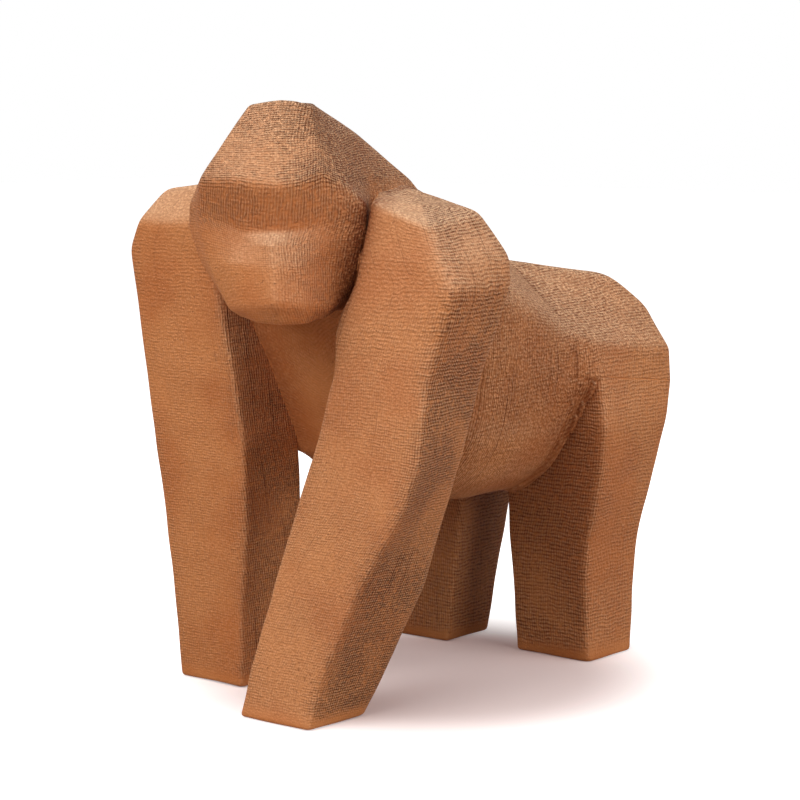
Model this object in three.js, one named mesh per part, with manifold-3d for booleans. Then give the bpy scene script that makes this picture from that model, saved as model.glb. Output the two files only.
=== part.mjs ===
// Gorilla figurine on all fours: faceted castings that are dowelled and glued together.
// The gorilla faces -Y, its left side is +X, and it stands on four felt pads at Z = 0. Millimetres.
import * as THREE from 'three';
import { mergeVertices } from 'three/addons/utils/BufferGeometryUtils.js';
import Module from 'manifold-3d';

const wasm = await Module();
wasm.setup();

// Fits between the pieces
const seamGap = 0.3;
const socketGap = 0.45;
const padThickness = 1.2;
const padInset = 4;
const padCornerRadius = 4;
const soleHeight = 0.4;
const soleChamfer = 0.8;
const dowelRadius = 2.5;
const dowelLength = 20;
const dowelChamfer = 0.6;
const dowelSides = 20;

// Hollow of the trunk and the cover that closes it
const coverWidth = 28;
const coverLength = 38;
const coverThickness = 4;
const coverLedge = 3;
const coverCentreY = 22;
const bellyHeight = 65;
const mouthDepth = 32;

// The head is turned to the gorilla's left about an upright axis at the neck
const headTurn = THREE.MathUtils.degToRad(30);
const neckAxis = new THREE.Vector2(2, -66);

const terracotta = { color: 0xb4713f, roughness: 0.85, metalness: 0 };
const beech = { color: 0xc9a878, roughness: 0.7, metalness: 0 };
const felt = { color: 0x4a3a30, roughness: 1, metalness: 0 };

// A limb station is [height, inner front, outer front, outer rear, inner rear] in X.
// The front and rear faces are planes: Y at the floor and its change per millimetre of height.
const leftArm = {
  front: [-93.6, 0.176],
  rear: [-62.4, 0.216],
  stations: [
    [0, 3, 36, 37.2, 4.5],
    [14, 4.8, 37.5, 43.2, 6.5],
    [48, 12, 50, 57, 14],
    [78, 19, 66.5, 61.7, 20],
    [93, 23, 71, 65, 23],
    [122, 28.5, 71, 69, 28],
    [145, 26, 76.2, 74.8, 30],
    [153, 30, 78, 76.8, 31],
    [163, 32, 71.5, 74.8, 30],
  ],
  top: [[35, -60.5, 183], [63.5, -62, 174.5], [62.2, -30, 178.8], [28, -29.5, 187]],
};
const rightArm = {
  front: [-62.9, -0.034],
  rear: [-32.5, -0.034],
  stations: [
    [0, -24.5, -56.4, -54.5, -24],
    [27, -23.5, -58.4, -57.4, -22],
    [60, -20, -61.8, -60.3, -19],
    [92, -19.8, -66.4, -64.3, -19],
    [124, -25, -70.9, -69.2, -22],
    [162, -35, -76, -74.2, -30],
    [173, -37, -71, -70.4, -30],
  ],
  top: [[-36, -57, 188.5], [-66.5, -57.5, 184.4], [-64.5, -35, 183.5], [-30, -35, 188.5]],
};
const leftLeg = {
  front: [52.3, 0],
  rear: [81, 0.17],
  stations: [
    [0, 16.5, 52, 52.8, 16.5],
    [31, 14, 50.2, 50.6, 13.5],
    [47, 12, 51.4, 50.6, 11.5],
    [76, 10.3, 57.6, 56, 9.5],
    [92, 9.5, 59.2, 58.4, 8.5],
  ],
  top: [[9.5, 52.3, 112], [55.7, 53.5, 112], [58.8, 100.2, 107], [9.5, 99.6, 107.4]],
};
const rightLeg = {
  front: [45.3, 0],
  rear: [73.6, 0.2],
  stations: [
    [0, -12.5, -48, -48.8, -13],
    [31, -8.5, -47, -47.4, -11.5],
    [47, -6, -48, -47.4, -10],
    [76, -4, -57, -55.5, -8.5],
    [92, -4, -59.2, -58.4, -8],
  ],
  top: [[-4, 47, 112], [-55.7, 53.5, 112], [-58.8, 100.2, 107], [-8, 99.6, 107.4]],
};

// A trunk station is Y, lean, then the half width and height of the spine edge, upper side, flank,
// low side, belly side and belly edge. Lean is the change of Y per millimetre above the belly edge.
const trunkStations = [
  [-33, -0.383, [14, 168], [36, 165], [40, 130], [30, 101], [22, 93.2], [13, 87.8]],
  [-30, 0, [12, 185], [40, 179], [46, 135], [38, 99], [29, 88.4], [17, 82]],
  [-8, 0, [6, 188], [49, 154], [50, 130], [46, 96], [35, 79], [19, 68]],
  [16, 0, [6, 180.5], [49, 144], [50, 122], [46, 94], [36, 75], [20, bellyHeight]],
  [44, 0, [16, 156.4], [49, 130], [50.5, 110], [44, 92], [34, 76], [20, bellyHeight]],
  [54, 0, [22, 154.3], [53, 125.6], [56.2, 108.5], [42, 94], [30, 77.5], [15.5, 67]],
  [85, 0, [38, 149.4], [56.8, 121.6], [57.6, 103], [30, 90], [24, 82], [12, 74]],
  [100.4, -0.04, [49.5, 133.5], [57.8, 120.4], [58.4, 104], [30, 92], [24, 85], [12, 79]],
  [100, -0.04, [47.5, 120], [56.2, 117.5], [57, 103.5], [30, 94], [24, 88], [12, 83]],
];
const hollowStations = [
  [-18, 0, [8, 132], [24, 128], [28, 116], [26, 104], [20, 96], [12, 92]],
  [8, 0, [12, 152], [34, 134], [36, 116], [32, 96], [24, 84], [15, 80]],
  [40, 0, [12, 144], [34, 124], [36, 108], [30, 96], [24, 86], [14, 82]],
];

// A head ring lists the face from its middle round to the left: points [sideways, forwards, height]
// in the turned head, then the nape in the body's own axes, then the right side of the face.
const headRings = [
  {
    faceLeft: [[5, 33, 140.5], [13, 27, 140.5], [17, 14, 141.5], [20, 6, 144]],
    nape: [[14, -44, 142], [3, -38, 142], [-5, -38, 142], [-16, -46, 142]],
    faceRight: [[-18, 2, 144], [-13, 17, 142], [-5, 27, 140.5]],
  },
  {
    faceLeft: [[4, 39, 148], [13, 32, 146.5], [19, 21, 145], [23.5, 8, 148]],
    nape: [[16, -43, 148], [4, -30, 148], [-6, -30, 148], [-18, -45, 148]],
    faceRight: [[-23, 2, 148], [-16, 21, 144.5], [-10, 29, 146]],
  },
  {
    faceLeft: [[3, 36, 161], [11, 29.5, 161], [17.5, 20, 161.5], [28.3, 10, 159]],
    nape: [[17, -40, 160], [4, -14, 160], [-6, -14, 160], [-20, -42, 160]],
    faceRight: [[-30.3, 5, 160], [-24, 17, 160], [-13, 27.5, 161]],
  },
  {
    faceLeft: [[1.5, 32.5, 168.5], [9, 26.5, 168], [20, 17, 170], [31, 12, 171]],
    nape: [[18, -38, 173], [5, 2, 173], [-6, 2, 173], [-21, -40, 173]],
    faceRight: [[-35.3, 2, 172], [-28, 15, 173], [-10, 25.5, 168]],
  },
  {
    faceLeft: [[1, 25.3, 172.3], [9, 23.2, 173], [19.5, 16.8, 176], [31.5, 12, 181]],
    nape: [[18, -38, 182], [4, 12, 180], [-6, 12, 180], [-21, -40, 182]],
    faceRight: [[-34.8, 3, 181], [-28, 15, 179], [-10, 23.8, 172.8]],
  },
  {
    faceLeft: [[3, 29, 188], [10, 26, 189], [17.5, 19, 192.5], [24, 12, 188.5]],
    nape: [[16, -36, 190], [3, 3, 187.5], [-5, 3, 187.5], [-18, -38, 190]],
    faceRight: [[-30.8, 4, 189], [-27, 18, 189.5], [-13, 27, 190]],
  },
  {
    faceLeft: [[0, 19.5, 204], [7, 17.5, 204], [14, 13.5, 204], [18, 1, 203]],
    nape: [[10, -39, 205], [3, -28, 205], [-4, -28, 205], [-11, -41, 205]],
    faceRight: [[-20, 2, 203], [-19.5, 13.5, 203], [-9, 18.5, 203]],
  },
  {
    faceLeft: [[0, 9, 217.5], [6, 9, 217], [11, 8, 215.5], [10, -2, 216]],
    nape: [[6, -57, 216], [3, -53, 216], [-1, -53, 216], [-4, -58, 216]],
    faceRight: [[-11, -2, 216], [-11.5, 7, 216], [-5, 9, 217]],
  },
];

// Where the pairs of dowels cross the joints with the trunk: two points and the direction of the pins
const dowelPairs = {
  neck: { at: [[-8, -15, 161], [9, -15, 161]], along: [0, -0.6, 0.8], joins: 'head' },
  left_shoulder: { at: [[29, -41, 124], [30.5, -40, 148]], along: [1, 0, 0], joins: 'left_arm' },
  right_shoulder: { at: [[-25, -42, 124], [-30, -43, 148]], along: [-1, 0, 0], joins: 'right_arm' },
  left_hip: { at: [[32, 66, 110], [32, 84, 109]], along: [0, 0, -1], joins: 'left_leg' },
  right_hip: { at: [[-32, 66, 110], [-32, 84, 109]], along: [0, 0, -1], joins: 'right_leg' },
};

// Closed skin through rings of equal point count, with fan caps.
// The rings run anticlockwise seen from the last one.
function loft(rings) {
  const count = rings[0].length;
  const middles = [rings[0], rings.at(-1)].map(middle);
  const points = [...rings.flat(), ...middles];
  const faces = [];
  for (let row = 0; row + 1 < rings.length; row++) {
    for (let i = 0; i < count; i++) {
      const next = (i + 1) % count;
      const [a, b] = [row * count + i, row * count + next];
      faces.push(a, b, b + count, a, b + count, a + count);
    }
  }
  const first = rings.length * count;
  const lastRow = first - count;
  for (let i = 0; i < count; i++) {
    const next = (i + 1) % count;
    faces.push(first, next, i, first + 1, lastRow + i, lastRow + next);
  }
  const geometry = new THREE.BufferGeometry();
  geometry.setAttribute('position', new THREE.Float32BufferAttribute(points.flat(), 3));
  geometry.setIndex(faces);
  return geometry;
}

function middle(ring) {
  const sum = ring.reduce((total, point) => total.map((value, axis) => value + point[axis]), [0, 0, 0]);
  return sum.map((value) => value / ring.length);
}

// Rings pushed outwards from their middles by the socket gap, with the end rings also moved
// along the stack by the seam gap
function grown(rings) {
  return rings.map((ring, row) => {
    const centre = new THREE.Vector3(...middle(ring));
    const end = (row === rings.length - 1) - (row === 0);
    const before = new THREE.Vector3(...middle(rings[Math.max(row - 1, 0)]));
    const after = new THREE.Vector3(...middle(rings[Math.min(row + 1, rings.length - 1)]));
    const along = after.sub(before).normalize().multiplyScalar(seamGap * end);
    return ring.map((point) => {
      const corner = new THREE.Vector3(...point);
      const outwards = corner.clone().sub(centre).normalize();
      return corner.addScaledVector(outwards, socketGap).add(along).toArray();
    });
  });
}

function limbRings({ front, rear, stations, top }) {
  const rings = [];
  for (const [height, innerFront, outerFront, outerRear, innerRear] of stations) {
    const yFront = front[0] + front[1] * height;
    const yRear = rear[0] + rear[1] * height;
    const z = Math.max(height, soleHeight);
    const ring = [
      [innerFront, yFront, z], [outerFront, yFront, z], [outerRear, yRear, z], [innerRear, yRear, z],
    ];
    if (height === 0) {
      rings.push(insetRing(ring, soleChamfer));
      rings.push(ring.map(([x, y]) => [x, y, z + soleChamfer]));
    } else {
      rings.push(ring);
    }
  }
  rings.push(top);
  return top[1][0] < top[0][0] ? rings.map((ring) => ring.toReversed()) : rings;
}

// The four corners of a sole drawn in by the same distance along X and Y
function insetRing(ring, distance) {
  const [cx, cy] = middle(ring);
  return ring.map(([x, y, z]) => [x - Math.sign(x - cx) * distance, y - Math.sign(y - cy) * distance, z]);
}

function trunkRings(stations) {
  return stations.map(([y, lean, ...half]) => {
    const base = half.at(-1)[1];
    const left = half.map(([x, z]) => [x, y + lean * (z - base), z]);
    const right = left.map(([x, ySide, z]) => [-x, ySide, z]);
    return [...right.toReversed(), ...left];
  });
}

function turned([sideways, forwards, height]) {
  const across = new THREE.Vector2(sideways, -forwards).rotateAround(new THREE.Vector2(), headTurn);
  return [neckAxis.x + across.x, neckAxis.y + across.y, height];
}

function headRing({ faceLeft, nape, faceRight }) {
  return [...faceLeft.map(turned), ...nape, ...faceRight.map(turned)];
}

// Boolean solids
function solid(geometry) {
  const bare = geometry.clone();
  bare.deleteAttribute('normal');
  bare.deleteAttribute('uv');
  const merged = mergeVertices(bare, 1e-4);
  return new wasm.Manifold(new wasm.Mesh({
    numProp: 3,
    vertProperties: new Float32Array(merged.attributes.position.array),
    triVerts: new Uint32Array(merged.index.array),
  }));
}

function geometryOf(body) {
  const { vertProperties, triVerts, numProp } = body.getMesh();
  const geometry = new THREE.BufferGeometry();
  const flat = new THREE.InterleavedBuffer(vertProperties, numProp);
  geometry.setAttribute('position', new THREE.InterleavedBufferAttribute(flat, 3, 0));
  geometry.setIndex([...triVerts]);
  return geometry;
}

// Pin along Z with chamfered ends, centred on the origin
function pin(radius, length, chamfer) {
  const half = length / 2;
  const profile = [[0, -half], [radius - chamfer, -half], [radius, chamfer - half]];
  const mirrored = profile.map(([r, z]) => [r, -z]).toReversed();
  const outline = [...profile, ...mirrored].map(([r, z]) => new THREE.Vector2(r, z));
  return new THREE.LatheGeometry(outline, dowelSides).rotateX(Math.PI / 2);
}

function placedAlong(geometry, point, direction) {
  const turn = new THREE.Quaternion().setFromUnitVectors(
    new THREE.Vector3(0, 0, 1),
    new THREE.Vector3(...direction).normalize(),
  );
  return geometry.applyQuaternion(turn).translate(...point);
}

// Plate with rounded corners lying on the XY plane
function roundedPlate(width, length, radius, thickness) {
  const [x, y] = [width / 2, length / 2];
  const outline = new THREE.Shape();
  outline.absarc(x - radius, y - radius, radius, 0, Math.PI / 2);
  outline.absarc(radius - x, y - radius, radius, Math.PI / 2, Math.PI);
  outline.absarc(radius - x, radius - y, radius, Math.PI, 1.5 * Math.PI);
  outline.absarc(x - radius, radius - y, radius, 1.5 * Math.PI, 2 * Math.PI);
  return new THREE.ExtrudeGeometry(outline, { depth: thickness, bevelEnabled: false, curveSegments: 6 });
}

const figure = new THREE.Group();

function addPiece(name, geometry, finish) {
  const mesh = new THREE.Mesh(geometry, new THREE.MeshStandardMaterial(finish));
  mesh.name = name;
  figure.add(mesh);
}

// Castings: the head cuts the arms, and the head, arms and legs cut the trunk
const limbs = { left_arm: leftArm, right_arm: rightArm, left_leg: leftLeg, right_leg: rightLeg };
const bodies = {};
const faceRings = headRings.map(headRing);
bodies.head = solid(loft(faceRings));
const headSocket = solid(loft(grown(faceRings)));
bodies.trunk = solid(loft(trunkRings(trunkStations))).subtract(headSocket);
for (const [name, limb] of Object.entries(limbs)) {
  const rings = limbRings(limb);
  bodies[name] = solid(loft(rings)).subtract(headSocket);
  bodies.trunk = bodies.trunk.subtract(solid(loft(grown(rings))));
}

// Hollow, opening and rebate in the belly
const coverRadius = coverWidth / 2;
const rebate = roundedPlate(
  coverWidth + 2 * seamGap,
  coverLength + 2 * seamGap,
  coverRadius,
  2 * (coverThickness + seamGap),
).translate(0, coverCentreY, bellyHeight - coverThickness - seamGap);
const mouth = roundedPlate(
  coverWidth - 2 * coverLedge,
  coverLength - 2 * coverLedge,
  coverRadius - coverLedge,
  mouthDepth,
).translate(0, coverCentreY, bellyHeight);
for (const cut of [loft(trunkRings(hollowStations)), rebate, mouth]) {
  bodies.trunk = bodies.trunk.subtract(solid(cut));
}

// Dowels and their blind holes
for (const [joint, { at, along, joins }] of Object.entries(dowelPairs)) {
  at.forEach((point, i) => {
    const drill = pin(dowelRadius + seamGap, dowelLength + 2 * seamGap, dowelChamfer);
    const hole = solid(placedAlong(drill, point, along));
    bodies[joins] = bodies[joins].subtract(hole);
    bodies.trunk = bodies.trunk.subtract(hole);
    const dowel = pin(dowelRadius, dowelLength, dowelChamfer);
    addPiece(`${joint}_dowel_${i + 1}`, placedAlong(dowel, point, along), beech);
  });
}

// Felt pads let into the soles, drawn in from their edges
for (const [name, limb] of Object.entries(limbs)) {
  const sole = limbRings(limb)[1];
  const [cx, cy] = middle(sole);
  const xs = sole.map(([x]) => x);
  const ys = sole.map(([, y]) => y);
  const width = Math.max(...xs) - Math.min(...xs) - 2 * padInset;
  const length = Math.max(...ys) - Math.min(...ys) - 2 * padInset;
  const pad = roundedPlate(width, length, padCornerRadius, padThickness);
  addPiece(`${name}_pad`, pad.translate(cx, cy, 0), felt);
  const pocket = roundedPlate(
    width + 2 * seamGap,
    length + 2 * seamGap,
    padCornerRadius + seamGap,
    2 * (padThickness + seamGap),
  ).translate(cx, cy, -padThickness - seamGap);
  bodies[name] = bodies[name].subtract(solid(pocket));
}
for (const [name, body] of Object.entries(bodies)) {
  addPiece(name, geometryOf(body), terracotta);
}

const cover = roundedPlate(coverWidth, coverLength, coverRadius, coverThickness);
addPiece('belly_cover', cover.translate(0, coverCentreY, bellyHeight), terracotta);

// The origin is on the floor under the middle of the figure
const box = new THREE.Box3().setFromObject(figure);
figure.position.set(-(box.min.x + box.max.x) / 2, -(box.min.y + box.max.y) / 2, 0);

export default figure;
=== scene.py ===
import bpy
import numpy as np
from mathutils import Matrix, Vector


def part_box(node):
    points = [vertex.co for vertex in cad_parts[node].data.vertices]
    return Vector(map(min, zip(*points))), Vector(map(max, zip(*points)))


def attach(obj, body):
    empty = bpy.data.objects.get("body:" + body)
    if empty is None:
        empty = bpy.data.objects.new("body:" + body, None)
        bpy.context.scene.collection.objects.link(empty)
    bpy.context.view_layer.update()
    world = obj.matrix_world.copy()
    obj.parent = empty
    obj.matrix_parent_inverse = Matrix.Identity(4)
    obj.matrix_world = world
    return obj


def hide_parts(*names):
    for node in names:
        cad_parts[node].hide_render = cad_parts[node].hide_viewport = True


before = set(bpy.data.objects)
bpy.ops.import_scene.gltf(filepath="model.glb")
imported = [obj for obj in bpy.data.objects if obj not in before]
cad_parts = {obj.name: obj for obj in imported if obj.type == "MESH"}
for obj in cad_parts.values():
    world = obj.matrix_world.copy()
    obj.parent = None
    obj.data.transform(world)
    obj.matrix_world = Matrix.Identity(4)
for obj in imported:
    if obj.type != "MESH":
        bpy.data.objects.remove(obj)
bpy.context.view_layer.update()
print("frame:", len(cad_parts), "nodes")

mm = 0.001

# the castings are in mm, before the figure is centred on the floor
# limb station: height, then X of the inner front, outer front, outer rear and inner rear edges
# front and rear: Y at the floor and its change per mm of height
# edge, rearEdge, slackEdge: radius of the long edges, of the outer rear one, and by cheek and shoulder
# across, along, pulled: strength of the imprint's rows, columns and upright streaks
# on the inner, front, outer and rear faces; shade: painted shade low down on the same faces
# pitch: mm from row to row low down and high up, and between columns
leftArm = {
    "front": (-93.6, 0.176), "rear": (-62.4, 0.216),
    "stations": [(0, 3, 36, 37.2, 4.5), (14, 4.8, 37.5, 43.2, 6.5), (48, 12, 50, 57, 14),
                 (78, 19, 66.5, 61.7, 20), (93, 23, 71, 65, 23), (122, 28.5, 71, 69, 28),
                 (145, 26, 76.2, 74.8, 30), (153, 30, 78, 76.8, 31), (163, 32, 71.5, 74.8, 30)],
    "top": [(35, -60.5, 183), (63.5, -62, 174.5), (62.2, -30, 178.8), (28, -29.5, 187)],
    "edge": 1.9, "bend": 2.2, "rearEdge": 5.0, "slackEdge": 7.0, "pitch": (1.0, 1.5, 1.0),
    "across": (0.6, 0.26, 1.0, 0.8), "along": (0.5, 0.28, 1.0, 0.7), "pulled": (0.3, 0.25, 0.6, 0.3),
}
rightArm = {
    "front": (-62.9, -0.034), "rear": (-32.5, -0.034),
    "stations": [(0, -24.5, -56.4, -54.5, -24), (27, -23.5, -58.4, -57.4, -22), (60, -20, -61.8, -60.3, -19),
                 (92, -19.8, -66.4, -64.3, -19), (124, -25, -70.9, -69.2, -22), (162, -35, -76, -74.2, -30),
                 (173, -37, -71, -70.4, -30)],
    "top": [(-36, -57, 188.5), (-66.5, -57.5, 184.4), (-64.5, -35, 183.5), (-30, -35, 188.5)],
    "edge": 1.7, "bend": 2.2, "rearEdge": 4.0, "slackEdge": 2.5, "pitch": (1.05, 1.4, 1.05),
    "across": (0.4, 0.2, 0.9, 0.7), "along": (0.9, 0.22, 0.9, 0.7), "pulled": (0.8, 0.25, 0.4, 0.3),
}
# the legs run on above the hip joint, where they are cut off
leftLeg = {
    "front": (52.3, 0), "rear": (81, 0.17),
    "stations": [(0, 16.5, 52, 52.8, 16.5), (31, 14, 50.2, 50.6, 13.5), (47, 12, 51.4, 50.6, 11.5),
                 (76, 10.3, 57.6, 56, 9.5), (92, 9.5, 59.2, 58.4, 8.5)],
    "hip": [(9.5, 52.3, 112), (55.7, 53.5, 112), (58.8, 100.2, 107), (9.5, 99.6, 107.4)],
    "top": [(9.5, 52.3, 124), (53.4, 53.8, 124), (57.8, 99.4, 120), (9.5, 99, 120)],
    "edge": 2.6, "bend": 3.0, "pitch": (1.45, 1.45, 1.1),
    "across": (0.6, 0.7, 0.5, 0.6), "along": (0.3, 0.5, 0.35, 0.4), "pulled": (0.2, 0.1, 0.15, 0.2),
    "shade": (0.3, 0.22, 0.05, 0.1),
}
rightLeg = {
    "front": (45.3, 0), "rear": (73.6, 0.2),
    "stations": [(0, -12.5, -48, -48.8, -13), (31, -8.5, -47, -47.4, -11.5), (47, -6, -48, -47.4, -10),
                 (76, -4, -57, -55.5, -8.5), (92, -4, -59.2, -58.4, -8)],
    "hip": [(-4, 47, 112), (-55.7, 53.5, 112), (-58.8, 100.2, 107), (-8, 99.6, 107.4)],
    "top": [(-4, 47, 124), (-53.4, 53.8, 124), (-57.8, 99.4, 120), (-8, 99, 120)],
    "edge": 2.6, "bend": 3.0, "pitch": (1.45, 1.45, 1.1),
    "across": (0.7, 0.5, 0.5, 0.6), "along": (0.3, 0.6, 0.35, 0.4), "pulled": (0.3, 0.4, 0.15, 0.2),
    "shade": (0.35, 0.05, 0.0, 0.1),
}
limbs = {"left_arm": leftArm, "right_arm": rightArm, "left_leg": leftLeg, "right_leg": rightLeg}
# firm: heights between which the small floor radius gives way; bare: heights over which the imprint sets in
soles = {"height": 0.2, "chamfer": 0.4, "bend": 0.7, "firm": (3, 9), "bare": (2.2, 6.2), "faint": 0.1}


def limbRings(limb):
    # each station's four corners lie on the front and rear planes; the sole is drawn in below its chamfer
    table = np.array(limb["stations"], float)
    height = table[:, 0]
    yFront = limb["front"][0] + limb["front"][1] * height
    yRear = limb["rear"][0] + limb["rear"][1] * height
    y = np.stack([yFront, yFront, yRear, yRear], axis=1)
    z = np.repeat(np.maximum(height, soles["height"])[:, None], 4, axis=1)
    rings = np.stack([table[:, 1:], y, z], axis=2)
    sole = rings[0] + [0, 0, soles["chamfer"]]
    towardsMiddle = np.sign(rings[0].mean(0) - rings[0]) * soles["chamfer"]
    ends = np.array([limb[key] for key in ("hip", "top") if key in limb], float)
    rings = np.concatenate([[rings[0] + towardsMiddle, sole], rings[1:], ends])
    if rings[-1, 1, 0] < rings[-1, 0, 0]:  # a right limb runs the other way round
        return rings[:, ::-1]
    return np.roll(rings, 1, axis=1)


# trunk station: Y, lean, then half width and height of the spine edge, upper side, flank, low side,
# belly side and belly edge; lean is the change of Y per mm above the belly edge
# edge: radius of the long edges in front of and behind the span called haunch
trunk = {
    "stations": [
        (-33, -0.383, (14, 168), (36, 165), (40, 130), (30, 101), (22, 93.2), (13, 87.8)),
        (-30, 0, (12, 185), (40, 179), (46, 135), (38, 99), (29, 88.4), (17, 82)),
        (-8, 0, (6, 188), (49, 154), (50, 130), (46, 96), (35, 79), (19, 68)),
        (16, 0, (6, 180.5), (49, 144), (50, 122), (46, 94), (36, 75), (20, 65)),
        (44, 0, (16, 156.4), (49, 130), (50.5, 110), (44, 92), (34, 76), (20, 65)),
        (54, 0, (22, 154.3), (53, 125.6), (56.2, 108.5), (42, 94), (30, 77.5), (15.5, 67)),
        (85, 0, (38, 149.4), (56.8, 121.6), (57.6, 103), (30, 97), (24, 96), (12, 95)),
        (99.5, -0.04, (49.5, 133.5), (57.8, 120.4), (58.4, 104), (30, 103), (24, 102.5), (12, 102)),
        (99.2, -0.04, (47.5, 120), (56.2, 117.5), (57, 104.5), (30, 104), (24, 103.5), (12, 103)),
    ],
    "hollow": [
        (-18, 0, (8, 132), (24, 128), (28, 116), (26, 104), (20, 96), (12, 92)),
        (8, 0, (12, 152), (34, 134), (36, 116), (32, 96), (24, 84), (15, 80)),
        (40, 0, (12, 144), (34, 124), (36, 108), (30, 96), (24, 86), (14, 82)),
    ],
    "edge": (7.0, 2.4), "bend": 3.0, "haunch": (40, 54), "pitch": (1.15, 1.15, 1.45),
    # right belly side, low side, flank, upper side, back, then the spine, the same on the left, and the belly
    "across": (0.3, 0.3, 0.45, 0.5, 0.75, 0.75, 0.75, 0.5, 0.45, 0.3, 0.3, 0.3),
    "along": (0.35, 0.4, 0.5, 0.5, 0.25, 0.25, 0.25, 0.5, 0.5, 0.4, 0.35, 0.35),
    "pulled": (0.2, 0.4, 0.7, 0.8, 0.1, 0.1, 0.1, 0.8, 0.7, 0.4, 0.2, 0.2),
    "coarse": (0.35, 0.6, 0.8, 0.8, 0.6, 0.6, 0.6, 0.8, 0.8, 0.6, 0.35, 0.3),
    # the imprint over the legs, with the Y and height over which it sets in
    "byLeg": {"across": 0.5, "along": 0.35, "pulled": 0.15, "coarse": 0.3},
    "legY": (46, 58), "legTop": (134, 116),
    "chestY": (-26, -32), "chestSmooth": 0.65,  # smoother chest
}


def trunkRings(stations):
    # half outlines from spine to belly, mirrored; every point leans with its height over the belly edge
    half = np.array([s[2:] for s in stations], float)
    lean = np.array([s[1] for s in stations], float)[:, None]
    y = np.array([s[0] for s in stations], float)[:, None] + lean * (half[:, :, 1] - half[:, -1:, 1])
    left = np.stack([half[:, :, 0], y, half[:, :, 1]], axis=2)
    right = left * [-1, 1, 1]
    return np.concatenate([right[:, ::-1], left], axis=1)


# head ring: the face from its middle round to the left as sideways, forwards and height in the turned head,
# then the nape in the body's own axes, then the right side of the face
head = {
    "turn": 30, "neck": (2, -66),
    "rings": [
        ([(5, 33, 140.5), (13, 27, 140.5), (17, 14, 141.5), (20, 6, 144)],
         [(14, -44, 142), (3, -38, 142), (-5, -38, 142), (-16, -46, 142)],
         [(-18, 2, 144), (-13, 17, 142), (-5, 27, 140.5)]),
        ([(4, 39, 148), (13, 32, 146.5), (19, 21, 145), (23.5, 8, 148)],
         [(16, -43, 148), (4, -30, 148), (-6, -30, 148), (-18, -45, 148)],
         [(-23, 2, 148), (-16, 21, 144.5), (-10, 29, 146)]),
        ([(3, 36, 161), (11, 29.5, 161), (17.5, 20, 161.5), (28.3, 10, 159)],
         [(17, -40, 160), (4, -14, 160), (-6, -14, 160), (-20, -42, 160)],
         [(-30.3, 5, 160), (-24, 17, 160), (-13, 27.5, 161)]),
        ([(1.5, 32.5, 168.5), (9, 26.5, 168), (20, 17, 170), (31, 12, 171)],
         [(18, -38, 173), (5, 2, 173), (-6, 2, 173), (-21, -40, 173)],
         [(-35.3, 2, 172), (-28, 15, 173), (-10, 25.5, 168)]),
        ([(1, 25.3, 172.3), (9, 23.2, 173), (19.5, 16.8, 176), (31.5, 12, 181)],
         [(18, -38, 182), (4, 12, 180), (-6, 12, 180), (-21, -40, 182)],
         [(-34.8, 3, 181), (-28, 15, 179), (-10, 23.8, 172.8)]),
        ([(3, 29, 188), (10, 26, 189), (17.5, 19, 192.5), (24, 12, 188.5)],
         [(16, -36, 190), (3, 3, 187.5), (-5, 3, 187.5), (-18, -38, 190)],
         [(-30.8, 4, 189), (-27, 18, 189.5), (-13, 27, 190)]),
        ([(0, 19.5, 204), (7, 17.5, 204), (14, 13.5, 204), (18, 1, 203)],
         [(10, -39, 205), (3, -28, 205), (-4, -28, 205), (-11, -41, 205)],
         [(-20, 2, 203), (-19.5, 13.5, 203), (-9, 18.5, 203)]),
        ([(0, 9, 217.5), (6, 9, 217), (11, 8, 215.5), (10, -2, 216)],
         [(6, -57, 216), (3, -53, 216), (-1, -53, 216), (-4, -58, 216)],
         [(-11, -2, 216), (-11.5, 7, 216), (-5, 9, 217)]),
    ],
    "edge": 1.7, "bend": 1.2, "pitch": (1.09, 1.09, 1.09),
    "brow": (186, 190), "ledge": (172, 176), "rearY": (-74, -64),  # where forehead, eyes and nape set in
    # columns of the imprint from the nape round by the right side and the face to the left side
    "columnsBelow": (0.5, 0.5, 0.4, 0.1, 0.25, 0.2, 0.6, 0.75, 0.6, 0.5, 0.5), "columnsAtEyes": 0.75,
    "columnsAbove": (0.6, 0.6, 0.5, 0.5, 0.3, 0.25, 0.35, 0.9, 0.8, 0.7, 0.6),
    # on the face, and what is added above the brow or on the nape, for the rows, the grain and the painted
    # edge highlight; then the painted shade next to the left arm and its reach
    "rows": (0.22, 0.75), "grain": (0.22, 0.6), "paintedLight": (0.4, 0.6), "armCreaseShade": 0.8, "creaseReach": 5.0,
}


def headRings(setting):
    # face points turn about the upright neck axis: neck + rotation of (sideways, -forwards)
    angle = np.radians(setting["turn"])
    def turned(points):
        sideways, forwards, height = np.moveaxis(np.array(points, float), -1, 0)
        x = setting["neck"][0] + sideways * np.cos(angle) + forwards * np.sin(angle)
        y = setting["neck"][1] + sideways * np.sin(angle) - forwards * np.cos(angle)
        return np.stack([x, y, height], axis=-1)
    left = turned([ring[0] for ring in setting["rings"]])
    nape = np.array([ring[1] for ring in setting["rings"]], float)
    right = turned([ring[2] for ring in setting["rings"]])
    return np.concatenate([nape[:, 1:], right, left, nape[:, :1]], axis=1)


def ramp(value, start, full):
    # 0 at start, 1 at full, straight between and level beyond
    return np.clip((value - start) / (full - start), 0, 1)


def lengths(difference):
    return np.linalg.norm(difference, axis=-1)


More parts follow.
